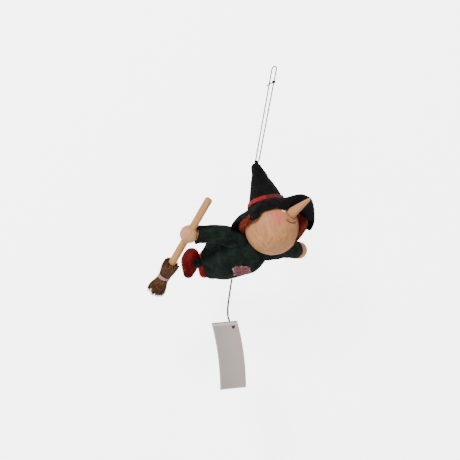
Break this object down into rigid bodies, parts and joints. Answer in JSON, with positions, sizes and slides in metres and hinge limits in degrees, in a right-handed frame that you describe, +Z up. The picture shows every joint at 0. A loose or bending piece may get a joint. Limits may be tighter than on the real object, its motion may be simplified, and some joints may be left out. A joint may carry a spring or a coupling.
{
  "type": "hanging felt witch ornament",
  "caption": "Hanging felt witch with a wooden ball head, long nose, pointed hat, posable arms, broomstick and swing tag on a loop of cord.",
  "frame": {"origin": "inside top of the hanging loop, where a hook carries it", "axes": "+Z up along the hanging cord, +X the way the witch flies, -Y the side that her face and front turn to"},
  "size_m": [0.1272, 0.0906, 0.2742],
  "materials": {
    "bare_wood": "clear varnish, satin",
    "stick_wood": "bare sanded dowel",
    "hair": "coarse dyed fibre",
    "black_felt": "wool felt",
    "wadding": "loose polyester fibre",
    "ribbon": "woven ribbon",
    "black_cord": "twisted cord",
    "green_felt": "wool felt",
    "wire": "plain annealed wire",
    "patch_cloth": "checked cotton, frayed edge",
    "shoe_paint": "stained wood, satin",
    "bristle": "natural bristle fibre",
    "string": "twisted string",
    "grey_cord": "twisted cord",
    "card": "smooth uncoated card"
  },
  "bodies": {
    "cord": {"hanging_cord": "black_cord", "cord_knot": "black_cord"},
    "figure": {"head_ball": "bare_wood", "nose": "bare_wood", "right_hair": "hair", "left_hair": "hair", "back_hair": "hair", "hat_cone": "black_felt", "hat_brim": "black_felt", "hat_stuffing": "wadding", "hat_band": "ribbon", "dress": "green_felt", "dress_base": "green_felt", "stuffing": "wadding", "hem_weight": "wire", "armature": "wire", "neck_dowel": "bare_wood", "front_patch": "patch_cloth", "back_patch": "patch_cloth"},
    "right_arm": {"right_sleeve": "green_felt", "right_forearm": "bare_wood", "right_arm_wire": "wire", "right_hand": "bare_wood"},
    "left_arm": {"left_sleeve": "green_felt", "left_forearm": "bare_wood", "left_arm_wire": "wire", "left_hand": "bare_wood"},
    "broom": {"broomstick": "stick_wood", "bristles": "bristle", "binding": "string"},
    "right_foot": {"right_leg": "green_felt", "right_shoe": "shoe_paint"},
    "left_foot": {"left_leg": "green_felt", "left_shoe": "shoe_paint"},
    "tag_string": {"tag_cord": "grey_cord", "tag_knot": "grey_cord"},
    "tag": {"tag_back_leaf": "card"},
    "tag_cover": {"tag_front_leaf": "card"}
  },
  "joints": [
    {"name": "figure_swing", "type": "hinge", "parent": "cord", "child": "figure", "pos_m": [-0.0005, 0, -0.0815], "axis": [0, 1, 0], "range_deg": [-25, 25]},
    {"name": "right_shoulder", "type": "hinge", "parent": "figure", "child": "right_arm", "pos_m": [-0.003, -0.009, -0.1485], "axis": [0, 0, 1], "range_deg": [0, 35]},
    {"name": "left_shoulder", "type": "hinge", "parent": "figure", "child": "left_arm", "pos_m": [0.023, 0.008, -0.152], "axis": [0, 0, 1], "range_deg": [0, 35]},
    {"name": "broom_turn", "type": "hinge", "parent": "right_arm", "child": "broom", "pos_m": [-0.0446, -0.0208, -0.1506], "axis": [0.311, -0.454, 0.835], "continuous": true},
    {"name": "right_hip", "type": "hinge", "parent": "figure", "child": "right_foot", "pos_m": [-0.026, 0.008, -0.171], "axis": [0, 0, 1], "range_deg": [0, 25]},
    {"name": "left_hip", "type": "hinge", "parent": "figure", "child": "left_foot", "pos_m": [-0.019, 0.022, -0.1695], "axis": [0, 0, 1], "range_deg": [-20, 0]},
    {"name": "tag_cord_bend", "type": "hinge", "parent": "figure", "child": "tag_string", "pos_m": [-0.0029, 0.004, -0.1814], "axis": [0, 1, 0], "range_deg": [-30, 30]},
    {"name": "tag_swing", "type": "hinge", "parent": "tag_string", "child": "tag", "pos_m": [0.00572, 0.00347, -0.22094], "axis": [-0.24, 0.9299, -0.2787], "range_deg": [-25, 25]},
    {"name": "tag_open", "type": "hinge", "parent": "tag", "child": "tag_cover", "pos_m": [-0.01257, -0.00019, -0.22099], "axis": [-0.9215, -0.3086, -0.2359], "range_deg": [0, 110]}
  ]
}
